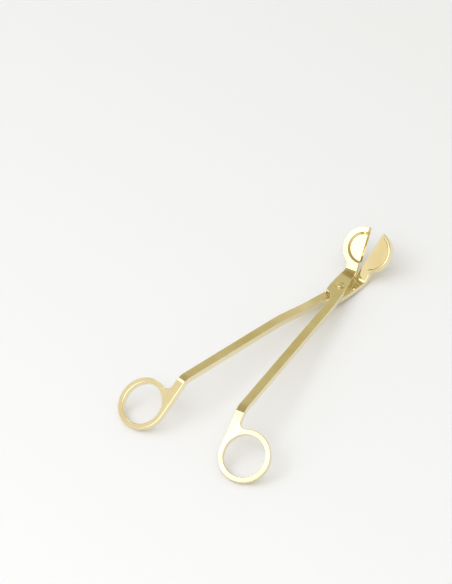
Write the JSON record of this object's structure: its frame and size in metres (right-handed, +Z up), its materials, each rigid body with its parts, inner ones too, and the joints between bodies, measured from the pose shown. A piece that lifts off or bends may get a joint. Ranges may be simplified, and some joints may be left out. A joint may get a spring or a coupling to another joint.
{
  "type": "wick trimmer",
  "caption": "Hinged wick trimmer with cranked arms, two finger rings and half-round blades that meet under a shallow catch recess.",
  "frame": {"origin": "on the table under the middle of the object's box, as it lies half open on its two rings and the lower lever's heel", "axes": "+X from the finger rings towards the blades, +Y towards the lower lever's ring, +Z up from the table"},
  "size_m": [0.1825, 0.093, 0.0242],
  "materials": {
    "lever": "mirror-polished gold plate on stainless steel",
    "rivet": "polished gold plate on steel"
  },
  "bodies": {
    "lower": {"lower_lever": "lever", "pivot_rivet": "rivet"},
    "upper": {"upper_lever": "lever"}
  },
  "joints": [
    {"name": "pivot", "type": "hinge", "parent": "lower", "child": "upper", "pos_m": [0.05445, 0, 0.00845], "axis": [0.1268, 0, 0.9919], "range_deg": [-15.6, 44.4]}
  ]
}
